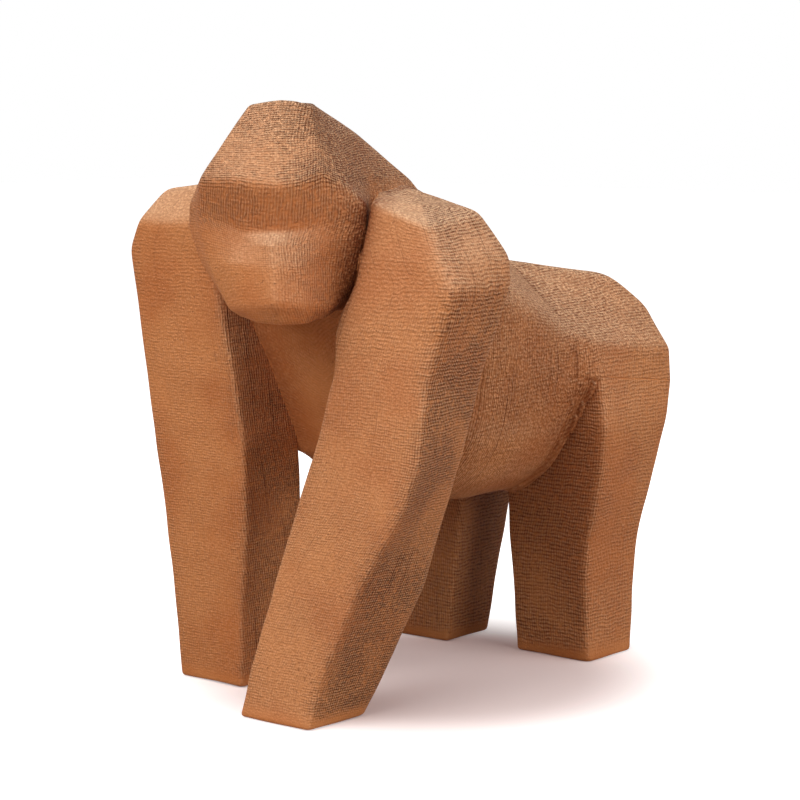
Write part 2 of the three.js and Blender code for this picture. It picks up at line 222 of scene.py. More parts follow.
def coarseSkin(rings):
    # triangles of the plain loft: two per side of every ring, and a fan from each end's middle
    count = rings.shape[1]
    a, b = rings[:-1], np.roll(rings, -1, axis=1)[:-1]
    c, d = np.roll(rings, -1, axis=1)[1:], rings[1:]
    sides = [np.stack(corners, 2).reshape(-1, 3, 3) for corners in ([a, b, c], [a, c, d])]
    low, high = [np.repeat(ring.mean(0)[None], count, 0) for ring in (rings[0], rings[-1])]
    under = np.stack([low, np.roll(rings[0], -1, 0), rings[0]], axis=1)
    over = np.stack([high, rings[-1], np.roll(rings[-1], -1, 0)], axis=1)
    return np.concatenate([*sides, under, over])


def runningMean(field, half, axis, wrap):
    # mean of the samples within half a window on each side, twice over
    count = 2 * half + 1
    for _ in range(2):
        if wrap:
            field = sum(np.roll(field, k, axis) for k in range(-half, half + 1)) / count
        else:
            pad = [(half, half) if i == axis else (0, 0) for i in range(field.ndim)]
            wide = np.pad(field, pad, mode="edge")
            size = field.shape[axis]
            field = sum(np.take(wide, np.arange(k, k + size), axis) for k in range(count)) / count
    return field


def normalsOf(grid):
    # cross product of the steps round the ring and along the stack
    around = np.roll(grid, -1, 1) - np.roll(grid, 1, 1)
    along = np.gradient(grid, axis=0)
    normal = np.cross(around, along)
    return normal / np.maximum(lengths(normal), 1e-9)[..., None]


detail = {"limb": 0.68, "trunk": 1.02, "head": 0.62}  # spacing of the grid lines, mm
fillet = 1.14  # radius of a rounded edge over the half width of the running mean that rounds it


def roundedLoft(rings, spacing, edge, bend):
    # point(u, v): rings joined by straight sides and rows, both ends drawn in to their middles,
    # then running means round the long edges (one grid for each edge radius)
    # and the cross edges (bend radius, less by the floor)
    drawnIn = 0.03
    ends = [ring.mean(0) + (ring - ring.mean(0)) * drawnIn for ring in (rings[0], rings[-1])]
    rings = np.concatenate([[ends[0]], rings, [ends[1]]])
    sides = np.roll(rings, -1, axis=1) - rings
    steps = np.maximum(np.rint(lengths(sides)[1:-1].mean(0) / spacing), 2).astype(int)
    rows = np.concatenate([rings[:, [j]] + sides[:, [j]] * (np.arange(n) / n)[None, :, None]
                           for j, n in enumerate(steps)], axis=1)
    gaps = np.maximum(np.rint(lengths(np.diff(rows, axis=0)).mean(1) / spacing), 1).astype(int)
    start = np.concatenate([[0], np.cumsum(gaps)])
    fine = np.arange(start[-1] + 1)
    cell = np.minimum(np.searchsorted(start, fine, side="right") - 1, len(gaps) - 1)
    share = ((fine - start[cell]) / gaps[cell])[:, None, None]
    raw = rows[cell] * (1 - share) + rows[cell + 1] * share
    def window(radius):
        return max(1, round(radius / fillet / spacing))
    def rounded(radius):
        field = runningMean(raw, window(radius), 1, True)
        firm, loose = [runningMean(field, window(r), 0, False) for r in (soles["bend"], bend)]
        return firm + (loose - firm) * ramp(raw[..., 2:], *soles["firm"])
    return raw, [rounded(radius) for radius in edge], steps


# change: share of the length over which the row pitch changes; the trunk's rows climb by a slope of climb
# towards the spine from the half width called brim; plate: pitch on flat plates
gauze = {"change": (0.55, 0.75), "brim": 54, "climb": 0.6, "plate": 1.1}


def threadMap(grid, pitch, datum, upright):
    # u: columns counted round the ring from the datum column; v: rows counted along the stack,
    # v = sum of dl / p, where the pitch p changes from low to high;
    # upright pieces count rows by height, v = z / p;
    # without a datum u counts along the stack and v = (z + climb max(0, brim - |x|)) / p
    closed = np.concatenate([grid, grid[:, :1]], axis=1)
    step = lengths(np.diff(grid, axis=0)).mean(1)
    share = ramp(np.cumsum(step) / step.sum(), *gauze["change"])
    stack = np.concatenate([[0], np.cumsum(step / (pitch[0] + (pitch[1] - pitch[0]) * share))])
    stack = np.repeat(stack[:, None], closed.shape[1], axis=1)
    if datum is None:
        inside = np.maximum(gauze["brim"] - np.abs(closed[..., 0] - shift[0]), 0)
        return stack, (closed[..., 2] + gauze["climb"] * inside) / pitch[2]
    around = np.cumsum(lengths(np.diff(closed, axis=1)), axis=1)
    around = np.concatenate([np.zeros((len(grid), 1)), around], axis=1)
    return (around - around[:, [datum]]) / pitch[2], closed[..., 2] / pitch[0] if upright else stack


def plateThreads(grid):
    # thread map of a flat plate: its own X and Y counted in threads
    closed = np.concatenate([grid, grid[:, :1]], axis=1)
    return closed[..., 0] / gauze["plate"], closed[..., 1] / gauze["plate"]


def unevenness(points, length, seed, count=14):
    # sum of slow sine waves in fixed random directions, from 0.6 to 1.6 waves in the length
    rng = np.random.default_rng(seed)
    waves = rng.normal(size=(count, 3))
    waves *= (rng.uniform(0.6, 1.6, count) / length * 2 * np.pi / lengths(waves))[:, None]
    return np.sin(points @ waves.T + rng.uniform(0, 2 * np.pi, count)).sum(-1) / np.sqrt(count)


def distanceTo(points, triangles):
    # signed distance to the nearest of some triangles: foot on the plane if it falls inside, else on an edge
    best = np.full(len(points), 1e9)
    for a, b, c in triangles:
        normal = np.cross(b - a, c - a)
        size = np.linalg.norm(normal)
        if size < 1e-9:
            continue
        normal = normal / size
        height = (points - a) @ normal
        foot = points - height[:, None] * normal
        inside = np.ones(len(points), bool)
        away = np.full(len(points), 1e9)
        for p, q in ((a, b), (b, c), (c, a)):
            side = q - p
            inside &= (np.cross(side, foot - p) @ normal) >= 0
            t = np.clip(((points - p) @ side) / (side @ side), 0, 1)
            away = np.minimum(away, lengths(points - p - t[:, None] * side))
        gap = np.where(inside, np.abs(height), away) * np.where(height < 0, -1, 1)
        best = np.where(np.abs(gap) < np.abs(best) - 1e-6, gap, best)
    return best


def gridDistance(grid, triangles):
    return distanceTo(grid.reshape(-1, 3), triangles).reshape(grid.shape[:2])


def creaseOf(gap, reach=4.0):
    # 1 at a neighbour, falling by e for every reach of distance
    return np.exp(-np.abs(gap) / reach)


def flared(grid, neighbour, radius, weight):
    # fillet up to a neighbour: with gap d and g = change of d per mm along the normal, the surface rises by
    # r - sqrt(r^2 - (L - s)^2), L = r sqrt((1 - g) / (1 + g)), s = d / sqrt(1 - g^2)
    reach, lift, most, blur = 2.5 * radius, radius / 2, 0.97 * radius, 2
    normal = normalsOf(grid)
    corners = neighbour.reshape(-1, 3)
    close = np.all((grid > corners.min(0) - reach) & (grid < corners.max(0) + reach), axis=-1)
    gap = np.full(grid.shape[:2], 1e3)
    slope = np.zeros(grid.shape[:2])
    gap[close] = distanceTo(grid[close], neighbour)
    raised = distanceTo(grid[close] + lift * normal[close], neighbour)
    slope[close] = np.clip((raised - gap[close]) / lift, -0.6, 0.95)  # keeps the fillet's length sensible
    length = radius * np.sqrt((1 - slope) / (1 + slope))
    run = np.clip(length - np.maximum(gap, 0) / np.sqrt(1 - slope ** 2), 0, most)
    rise = (radius - np.sqrt(radius ** 2 - run ** 2)) * weight
    rise = runningMean(runningMean(rise, blur, 1, True), blur, 0, False)
    return grid + rise[..., None] * normal, gap


def flushOffsets(points, normals, other, reach=3.0, alike=0.6):
    # from each point to a neighbour's grid: -((p - q) . n) n, with q its nearest point and n its normal there
    close = np.all((other > points.min(0) - reach) & (other < points.max(0) + reach), axis=-1)
    targets, facing = other[close], normalsOf(other)[close]
    apart = lengths(points[:, None] - targets[None])
    nearest = apart.argmin(1)
    n = facing[nearest]
    agree = ((n * normals).sum(-1) > alike) & (apart.min(1) < reach)
    return -(((points - targets[nearest]) * n).sum(-1) * agree)[:, None] * n


class Wire:
    # a node socket that takes part in plain arithmetic
    def __init__(self, tree, socket=None):
        self.tree = tree
        self.socket = socket

    def add(self, kind, settings=None, sockets=None, output=0):
        node = self.tree.nodes.new(kind)
        for key, value in (settings or {}).items():
            setattr(node, key, value)
        for key, value in (sockets or {}).items():
            if isinstance(value, Wire):
                self.tree.links.new(value.socket, node.inputs[key])
            else:
                node.inputs[key].default_value = value
        return Wire(self.tree, node.outputs[output])

    def maths(self, operation, *values):
        return self.add("ShaderNodeMath", {"operation": operation}, dict(enumerate(values)))

    def __add__(self, other):
        return self.maths("ADD", self, other)

    def __sub__(self, other):
        return self.maths("SUBTRACT", self, other)

    def __rsub__(self, other):
        return self.maths("SUBTRACT", other, self)

    def __mul__(self, other):
        return self.maths("MULTIPLY", self, other)

    def __pow__(self, other):
        return self.maths("POWER", self, other)

    __radd__ = __add__
    __rmul__ = __mul__

    def stretch(self, low, high, toLow=0.0, toHigh=1.0):
        return self.add("ShaderNodeMapRange", {"interpolation_type": "SMOOTHSTEP"},
                        {"Value": self, "From Min": low, "From Max": high, "To Min": toLow, "To Max": toHigh})

    def noise(self, scale, fine=2.0):
        return self.add("ShaderNodeTexNoise", {"noise_dimensions": "3D"},
                        {"Vector": self, "Scale": scale, "Detail": fine})

    def mix(self, first, second, share):
        return self.add("ShaderNodeMix", {"data_type": "RGBA"}, {0: share, 6: first, 7: second}, 2)


def tint(red, green, blue):
    # screen colour 0-255 to linear light
    value = np.array([red, green, blue]) / 255
    linear = np.where(value <= 0.04045, value / 12.92, ((value + 0.055) / 1.055) ** 2.4)
    return (*linear.tolist(), 1.0)


def newMaterial(name):
    material = bpy.data.materials.new(name)
    material.use_nodes = True
    tree = material.node_tree
    shader = tree.nodes["Principled BSDF"]
    return material, Wire(tree), shader


def feed(wire, shader, **sockets):
    for name, value in sockets.items():
        key = name.replace("_", " ")
        if isinstance(value, Wire):
            wire.tree.links.new(value.socket, shader.inputs[key])
        else:
            shader.inputs[key].default_value = value


# the last three layers carry painted light: the highlight on rounded edges, the shade in creases and the
# sheen on upward faces
layerNames = ("across", "along", "pulled", "coarse", "edgeShading", "creaseShade", "topSheen")
clay = {
    "mid": tint(205, 132, 77), "warm": tint(190, 113, 60),
    "pale": tint(236, 192, 152), "dark": tint(106, 50, 16),
    "depth": 0.6,  # mm of relief
    "sway": 2.2, "quiver": 0.8,  # how far the threads wander, in threads
    "swayScale": (44, 39), "quiverScale": (270, 250),  # for rows and columns, per metre like the scales below
    "dash": 0.5, "strand": 0.9, "streak": (0.7, 0.02),  # broken threads and long streaks
    "gapPower": 1.6,  # narrows the gaps between threads
    "patches": 48, "clouds": 30, "sand": 1250, "beads": 820, "pits": 640, "pitted": 60,
    "roughness": (0.7, 0.15), "gloss": 0.25,
    "raise": {"beads": 0.7, "sand": 0.2, "pits": 0.5, "streaks": 0.7},
    # paler edges and upward faces are painted highlight and painted sheen; the darker creases are painted
    # shade
    "paler": {"weave": 0.32, "beads": 0.2, "edgeShading": 0.2, "topSheen": 0.72},
    "darker": {"gaps": 0.65, "beads": 0.42, "pits": 0.3, "streaks": 0.4, "creaseShade": 0.75},
}


def gauzeClay(name, look):
    # matte cast clay with the imprint of gauze: two sets of thread waves counted on the piece's thread map
    material, w, shader = newMaterial(name)
    thread = w.add("ShaderNodeUVMap", {"uv_map": "threads"})
    place = w.add("ShaderNodeTexCoord", output="Object")
    u, v = [w.add("ShaderNodeSeparateXYZ", sockets={0: thread}, output=axis) for axis in "XY"]
    across, along, pulled, coarse, edgeShading, creaseShade, topSheen = [
        w.add("ShaderNodeAttribute", {"attribute_name": key}, output="Fac") for key in layerNames]
    def wander(line, swayScale, quiverScale):
        slow, quick = place.noise(swayScale, 2) - 0.5, place.noise(quiverScale, 1) - 0.5
        return line + slow * look["sway"] + quick * look["quiver"]
    def flat(x, y):
        return w.add("ShaderNodeCombineXYZ", sockets={"X": x, "Y": y})
    rowLine, columnLine = [wander(*way) for way in zip((v, u), look["swayScale"], look["quiverScale"])]
    rows, columns = [w.maths("COSINE", line * (2 * np.pi)) * 0.5 + 0.5 for line in (rowLine, columnLine)]
    patches = place.noise(look["patches"], 3).stretch(0.34, 0.56, 0.55, 1)
    rowPlace = flat(u * look["dash"], rowLine * look["strand"])
    columnPlace = flat(columnLine * look["strand"], v * look["dash"])
    rowShare, columnShare = [spot.noise(1.0, 1).stretch(0.32, 0.62, 0.2, 1) * strength * patches
                             for spot, strength in ((rowPlace, across), (columnPlace, along))]
    weave = rows * rowShare + columns * columnShare
    gaps = (1 - rows) ** look["gapPower"] * rowShare + (1 - columns) ** look["gapPower"] * columnShare
    sand = place.noise(look["sand"], 2).stretch(0.3, 0.7)
    beads = w.add("ShaderNodeTexVoronoi", {}, {"Vector": place, "Scale": look["beads"]}, "Distance")
    beads = beads.stretch(0.1, 0.75, 1, 0)
    pitted = place.noise(look["pitted"], 2).stretch(0.5, 0.65)
    pits = place.noise(look["pits"], 2).stretch(0.64, 0.74) * pitted
    streakPlace = flat(columnLine * look["streak"][0], v * look["streak"][1])
    streaks = streakPlace.noise(1.0, 2).stretch(0.6, 0.72) * pulled
    up, pale, dark = look["raise"], look["paler"], look["darker"]
    height = weave + beads * coarse * up["beads"] + sand * up["sand"]
    height = height - pits * up["pits"] - streaks * up["streaks"]
    depth = look["depth"] * mm
    bump = w.add("ShaderNodeBump", sockets={"Height": height, "Strength": 1.0, "Distance": depth})
    colour = w.mix(look["warm"], look["mid"], place.noise(look["clouds"], 3).stretch(0.35, 0.65))
    raised = weave * pale["weave"] + beads * coarse * pale["beads"]
    # paler on raised threads and beads, with a painted highlight on rounded edges and a painted sheen on
    # upward faces
    colour = w.mix(colour, look["pale"], raised + edgeShading * sand * pale["edgeShading"] + topSheen * pale["topSheen"])
    sunk = gaps * dark["gaps"] + (1 - beads) * coarse * dark["beads"] + pits * dark["pits"]
    # painted shade in creases, between parts and on inner edges
    colour = w.mix(colour, look["dark"], sunk + streaks * dark["streaks"] + creaseShade * dark["creaseShade"])
    least, spread = look["roughness"]
    feed(w, shader, Base_Color=colour, Roughness=least + sand * spread, Normal=bump)
    shader.inputs["Specular IOR Level"].default_value = look["gloss"]
    return material


def skinPiece(name, grid, threads, layers, material):
    # quads between neighbouring grid lines, and a fan to a pole at each end
    rows, cols = grid.shape[:2]
    here = np.arange(rows - 1)[:, None] * cols + np.arange(cols)[None]
    beside = np.arange(rows - 1)[:, None] * cols + (np.arange(cols)[None] + 1) % cols
    quads = np.stack([here, beside, beside + cols, here + cols], axis=-1).reshape(-1, 4)
    pole = rows * cols
    under = np.stack([np.full(cols, pole), beside[0], here[0]], axis=-1)
    over = np.stack([np.full(cols, pole + 1), here[-1] + cols, beside[-1] + cols], axis=-1)
    points = np.concatenate([grid.reshape(-1, 3), grid[:1].mean(1), grid[-1:].mean(1)]) * mm
    mesh = bpy.data.meshes.new(name)
    mesh.from_pydata(points, [], quads.tolist() + under.tolist() + over.tolist())
    uv = np.stack(threads, axis=-1)
    corners = np.stack([uv[:-1, :-1], uv[:-1, 1:], uv[1:, 1:], uv[1:, :-1]], axis=2).reshape(-1, 2)
    lowFan = np.stack([(uv[0, :-1] + uv[0, 1:]) / 2, uv[0, 1:], uv[0, :-1]], axis=1).reshape(-1, 2)
    highFan = np.stack([(uv[-1, :-1] + uv[-1, 1:]) / 2, uv[-1, :-1], uv[-1, 1:]], axis=1).reshape(-1, 2)
    everyCorner = np.concatenate([corners, lowFan, highFan])
    mesh.uv_layers.new(name="threads").data.foreach_set("uv", everyCorner.ravel())
    for key, field in layers.items():
        values = np.concatenate([field.ravel(), field[:1].mean(1), field[-1:].mean(1)])
        mesh.attributes.new(key, "FLOAT", "POINT").data.foreach_set("value", values)
    mesh.polygons.foreach_set("use_smooth", np.ones(len(mesh.polygons), bool))
    mesh.materials.append(material)
    piece = bpy.data.objects.new(name, mesh)
    bpy.context.scene.collection.objects.link(piece)
    return piece


def carve(piece, cutters, sharpAngle=40):
    for cutter in cutters:
        cut = piece.modifiers.new("cut", "BOOLEAN")
        cut.operation = "DIFFERENCE"
        cut.solver = "MANIFOLD"
        cut.object = cutter
    graph = bpy.context.evaluated_depsgraph_get()
    carved = bpy.data.meshes.new_from_object(piece.evaluated_get(graph), depsgraph=graph)
    carved.set_sharp_from_angle(angle=np.radians(sharpAngle))
    piece.modifiers.clear()
    piece.data = carved


def dress(piece, node):
    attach(piece, "root")
    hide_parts(node)


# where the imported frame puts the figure: the left foot's pad against the left foot's sole
rings = {name: limbRings(limb) for name, limb in limbs.items()}
rings["trunk"] = trunkRings(trunk["stations"])
rings["head"] = headRings(head)
padLow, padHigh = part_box("left_leg_pad")
shift = np.array((padLow + padHigh) / 2) / mm - rings["left_leg"][1].mean(0)
shift[2] = 0
rings = {name: ring + shift for name, ring in rings.items()}
plain = {name: coarseSkin(ring) for name, ring in rings.items()}
print("figure centred by", shift.round(3), "mm")

castClay = gauzeClay("gauze_clay", clay)
pieces = {}
lumps = {"height": 0.12, "length": 24, "seed": 4}  # unevenness of the castings, mm
# full: share of a radius at which an edge counts as fully rounded, for its painted highlight; hollow: painted
# shade on inner edges;
# then the power of the facing upwards that sets the painted sheen, and the grain that is added with it
paintedLight = {"full": 0.35, "hollow": 0.5, "sheenPower": 1.3, "topGrain": 0.6}


def sideBands(values, steps, blur=6):
    # one value per side of the ring, spread over its columns and blended at the edges
    return runningMean(np.repeat(np.array(values, float), steps), blur, 0, True)[None]


def edgeShadingOf(raw, soft, radius):
    # how far rounding has drawn the surface in, along the normal, against the radius; this sets the painted
    # highlight on outer edges and the painted shade on inner ones
    return np.clip(((raw - soft) * normalsOf(soft)).sum(-1) / (paintedLight["full"] * radius), -1, 1)


def castPiece(name, soft, bands, edgeShading, creaseShade, pitch, datum=None, upright=False):
    normal = normalsOf(soft)
    lump = unevenness(soft, lumps["length"], lumps["seed"]) * lumps["height"]
    grid = soft + lump[..., None] * normal
    bare = np.maximum(ramp(grid[..., 2], *soles["bare"]), soles["faint"])
    layers = {key: bands.get(key, 0.0) * bare for key in ("across", "along", "pulled", "coarse")}
    # painted highlight on rounded outer edges
    layers["edgeShading"] = np.clip(edgeShading, 0, 1)
    # painted shade in creases and on the inner side of rounded hollows
    layers["creaseShade"] = np.clip(creaseShade + np.clip(-edgeShading, 0, 1) * paintedLight["hollow"], 0, 1)
    # painted sheen on faces that look upwards, standing in for the overhead light
    layers["topSheen"] = np.clip(normal[..., 2], 0, 1) ** paintedLight["sheenPower"]
    layers["coarse"] = layers["coarse"] + paintedLight["topGrain"] * layers["topSheen"]
    threads = threadMap(grid, pitch, datum, upright)
    pieces[name] = skinPiece(name + "_cast", grid, threads, layers, castClay)
    print(name, "cast:", grid.shape)


# plane of the hip joint: height at a Y and slope; below it the trunk's skin goes in by tuck, within a leg's
# margin; the legs are flush with the haunch over mm above it, from the Ys called behind, fading out below
hip = {"height": 112, "at": 53, "slope": -0.11, "tuck": 1.5, "tuckFrom": (-0.25, -1.25), "margin": 1.0,
       "over": 1, "behind": (54, 58), "reach": 14, "wedge": {"width": 90, "y": (20, 130), "top": 160}}


def aboveHip(points):
    return points[..., 2] - hip["height"] - hip["slope"] * (points[..., 1] - shift[1] - hip["at"])


# radius of the trunk's fillet to each neighbour; with a leg only the crease in front of it, below the hip
fillets = {"left_arm": 4.5, "right_arm": 4.5, "left_leg": 6.0, "right_leg": 6.0, "head": 3.0}
legCrease = {"y": (57, 51), "z": (113, 99), "reach": 3.0, "smooth": 0.8}
# painted shade on the trunk where it meets each neighbour
jointShade = 0.4
# deep place between the head and each shoulder, sunk in and painted with shade
nook = {"reach": 6.0, "gain": 1.4, "y": (-20, -30), "depth": 3.0}


def trunkCast():
    raw, (loose, firm), steps = roundedLoft(rings["trunk"], detail["trunk"], trunk["edge"], trunk["bend"])
    soft = loose + (firm - loose) * ramp(raw[..., 1:2] - shift[1], *trunk["haunch"])
    skin = soft
    edgeShading = edgeShadingOf(raw, soft, trunk["edge"][1])
    creaseShade, hidden = np.zeros((2, *soft.shape[:2]))
    gap = {}
    for name, radius in fillets.items():
        leg = name.endswith("leg")
        weight = ramp(soft[..., 1], *legCrease["y"]) * ramp(soft[..., 2], *legCrease["z"]) if leg else 1.0
        soft, gap[name] = flared(soft, plain[name], radius, weight)
        # painted shade at each joint
        creaseShade = np.maximum(creaseShade, jointShade * creaseOf(gap[name]) * weight)
        if leg:
            hidden = np.maximum(hidden, creaseOf(gap[name], legCrease["reach"]) * weight)
    byHead, byLeft, byRight = [creaseOf(gap[name], nook["reach"])
                               for name in ("head", "left_arm", "right_arm")]
    deep = np.clip(nook["gain"] * byHead * np.maximum(byLeft, byRight), 0, 1) * ramp(soft[..., 1], *nook["y"])
    soft = soft - nook["depth"] * deep[..., None] * normalsOf(soft)
    # the nook is painted with shade as well as sunk
    creaseShade = np.maximum(creaseShade, deep)
    inLeg = np.minimum(*[gridDistance(soft, plain[leg]) for leg in ("left_leg", "right_leg")])
    tuck = ramp(aboveHip(soft), *hip["tuckFrom"]) * (inLeg < hip["margin"])
    soft = soft - (hip["tuck"] * tuck)[..., None] * normalsOf(soft)
    y = soft[..., 1] - shift[1]
    onHaunch = ramp(y, *trunk["legY"]) * ramp(soft[..., 2], *trunk["legTop"])
    onChest = ramp(y, *trunk["chestY"])
    bands = {}
    for key, overLeg in trunk["byLeg"].items():
        band = sideBands(trunk[key], steps) * (1 - legCrease["smooth"] * hidden)
        band = band + (overLeg - band) * onHaunch
        bands[key] = band * (1 - trunk["chestSmooth"] * onChest)
    castPiece("trunk", soft, bands, edgeShading, creaseShade, trunk["pitch"])
    return skin


trunkSkin = trunkCast()

# softer edges of the arms: full strength and reach, in columns, about the outer rear edge,
# the inner front edge by the cheek and the outer front edge on the shoulder,
# with the heights between which the last two hold
slackness = {"rear": (1.6, 12), "cheek": (1.8, 14), "cheekZ": (136, 190), "cheekFade": 12,
             "shoulder": (1.7, 12), "shoulderZ": (112, 142), "shoulderMost": 0.8}
# painted shade on the arms next to the head, falling by e every creaseReach mm
armLook = {"headCreaseShade": 1.2, "creaseReach": 5.0, "rowsOnly": 0.6, "rowsOnlyZ": (138, 156)}
legLook = {"shadeZ": (100, 86)}  # the painted shade on the sides lies below the haunch
limbGrain = 0.25


def near(count, column, full, reach):
    # 1 close to a column of the grid, falling to 0 at full * reach columns off
    return np.clip(full - np.abs(np.arange(count) - column) / reach, 0, 1)[None]


def flushLeg(soft):
    # one point per column just over the joint is brought to the trunk's skin, and the leg below follows
    rise = aboveHip(soft)
    row, column = np.abs(rise - hip["over"]).argmin(0), np.arange(soft.shape[1])
    offset = flushOffsets(soft[row, column], normalsOf(soft)[row, column], trunkSkin)
    offset *= ramp(soft[row, column, 1] - shift[1], *hip["behind"])[:, None]
    fade = np.clip(1 + rise / hip["reach"], 0, 1)
    return soft + runningMean(offset, 2, 0, True)[None] * (fade * fade * (3 - 2 * fade))[..., None]


def limbCast(name, limb):
    left, arm = name.startswith("left"), name.endswith("arm")
    radii = [limb.get(key, limb["edge"]) for key in ("edge", "rearEdge", "slackEdge")]
    raw, (firm, loose, slack), steps = roundedLoft(rings[name], detail["limb"], radii, limb["bend"])
    count, z = raw.shape[1], raw[..., 2]
    outerFront = int(steps[:2].sum())
    innerFront, outerRear = (steps[0], steps[:3].sum()) if left else (steps[:3].sum(), steps[0])
    soft = firm + (loose - firm) * near(count, outerRear, *slackness["rear"])[..., None]
    edgeShading = edgeShadingOf(raw, soft, limb["edge"])
    creaseShade = np.zeros(soft.shape[:2])
    if arm:
        low, high = slackness["cheekZ"]
        level = np.clip(np.minimum(z - low, high - z) / slackness["cheekFade"], 0, 1)
        byCheek = near(count, innerFront, *slackness["cheek"]) * level
        level = np.minimum(ramp(z, *slackness["shoulderZ"]), slackness["shoulderMost"])
        onShoulder = near(count, outerFront, *slackness["shoulder"]) * level
        soft = soft + (slack - soft) * np.maximum(byCheek, onShoulder)[..., None]
        edgeShading = edgeShading * (1 - byCheek) * (1 - onShoulder)
        # painted shade on the arm next to the head
        creaseShade = armLook["headCreaseShade"] * creaseOf(gridDistance(soft, plain["head"]), armLook["creaseReach"])
    else:
        soft = flushLeg(soft)
    order = slice(None) if left else slice(None, None, -1)  # inner, front, outer, rear
    bands = {key: np.repeat(sideBands(limb[key][order], steps), len(soft), axis=0)
             for key in ("across", "along", "pulled")}
    bands["coarse"] = limbGrain
    if arm:
        rowsOnly = armLook["rowsOnly"] * ramp(soft[..., 2], *armLook["rowsOnlyZ"])  # up on the shoulder
        bands["along"] = bands["along"] * (1 - rowsOnly)
    else:
        # painted shade low on the legs' faces
        creaseShade = creaseShade + sideBands(limb["shade"][order], steps) * ramp(soft[..., 2], *legLook["shadeZ"])
    castPiece(name, soft, bands, edgeShading, creaseShade, limb["pitch"], outerFront, upright=not arm)


for name, limb in limbs.items():
    limbCast(name, limb)


def headCast():
    raw, (soft,), steps = roundedLoft(rings["head"], detail["head"], (head["edge"],), head["bend"])
    above = ramp(soft[..., 2], *head["brow"])
    eyes = ramp(soft[..., 2], *head["ledge"])
    rearward = ramp(soft[..., 1] - shift[1], *head["rearY"])
    columns = sideBands(head["columnsBelow"], steps)
    columns = columns + (head["columnsAtEyes"] - columns) * eyes
    columns = columns + (sideBands(head["columnsAbove"], steps) - columns) * above
    bands = {"across": head["rows"][0] + above * head["rows"][1], "along": columns,
             "coarse": head["grain"][0] + rearward * head["grain"][1]}
    # painted highlight on the head's edges, stronger above the brow
    edgeShading = edgeShadingOf(raw, soft, head["edge"]) * (head["paintedLight"][0] + head["paintedLight"][1] * above)
    # painted shade on the head next to the left arm
    creaseShade = head["armCreaseShade"] * creaseOf(gridDistance(soft, plain["left_arm"]), head["creaseReach"])
    middleOfFace = int(steps[:6].sum())
    castPiece("head", soft, bands, edgeShading, creaseShade, head["pitch"], middleOfFace)


headCast()


def hipWedge(width, y, top):
    # block whose underside is the plane of the hip joint
    x = np.array([-1, 1, 1, -1, -1, 1, 1, -1]) * float(width)
    y = np.array(y, float)[[0, 0, 1, 1, 0, 0, 1, 1]]
    z = np.where(np.arange(8) < 4, hip["height"] + hip["slope"] * (y - hip["at"]), top)
    mesh = bpy.data.meshes.new("hip_cut")
    faces = [(3, 2, 1, 0), (4, 5, 6, 7), (0, 1, 5, 4), (1, 2, 6, 5), (2, 3, 7, 6), (3, 0, 4, 7)]
    mesh.from_pydata((np.stack([x, y, z], axis=1) + shift) * mm, [], faces)
    cutter = bpy.data.objects.new("hip_cut", mesh)
    bpy.context.scene.collection.objects.link(cutter)
    return cutter


def plateGrid(width, length, radius, low, high, edge, centre, count=160):
    # rows of a rounded rectangle drawn in by d: straight parts plus quarter circles of radius r - d;
    # d and z follow the under face, a quarter round, the side, a quarter round and the top face
    faceRows, arcRows, innermost = 12, 5, 0.96 * radius
    turn = np.arange(count) / count * 2 * np.pi
    circle = np.stack([np.cos(turn), np.sin(turn)], axis=1)
    side = np.sign(circle) * [width / 2 - radius, length / 2 - radius]
    spread = np.linspace(innermost, edge, faceRows)
    rising = np.linspace(0, np.pi / 2, arcRows + 1)[1:]
    falling = rising[::-1] - rising[0]
    inset = np.concatenate([spread, edge * (1 - np.sin(rising)), edge * (1 - np.sin(falling)), spread[::-1]])
    heights = np.concatenate([np.full(faceRows, low), low + edge * (1 - np.cos(rising)),
                              high - edge * (1 - np.cos(falling)), np.full(faceRows, high)])
    flat = side[None] + (radius - inset)[:, None, None] * circle[None]
    grid = np.concatenate([flat, np.repeat(heights[:, None, None], count, 1)], axis=2)
    return grid + np.array([centre[0], centre[1], 0])


def pinGrid(point, direction, radius, length, chamfer, sides):
    # circles of radius r(t) about the line point + t direction, with chamfered ends
    along = np.array(direction, float) / np.linalg.norm(direction)
    first = np.cross(along, [0.31, 0.8, 0.52])  # any direction off the pin's own
    first /= np.linalg.norm(first)
    second = np.cross(along, first)
    t = np.array([-length / 2, chamfer - length / 2, length / 2 - chamfer, length / 2])
    r = np.array([radius - chamfer, radius, radius, radius - chamfer])
    turn = np.arange(sides) / sides * 2 * np.pi
    ring = np.cos(turn)[:, None] * first + np.sin(turn)[:, None] * second
    return np.array(point) + t[:, None, None] * along + r[:, None, None] * ring[None]


def cutterOf(name, grid):
    noThreads = np.zeros((2, grid.shape[0], grid.shape[1] + 1))
    return skinPiece(name, grid, noThreads, {}, castClay)


hipCut = hipWedge(**hip["wedge"])
for leg in ("left_leg", "right_leg"):
    carve(pieces[leg], [hipCut])
for arm in ("left_arm", "right_arm"):
    carve(pieces[arm], [pieces["head"]])
carve(pieces["trunk"], [pieces[name] for name in ("head", *limbs)])
print("castings cut against each other")

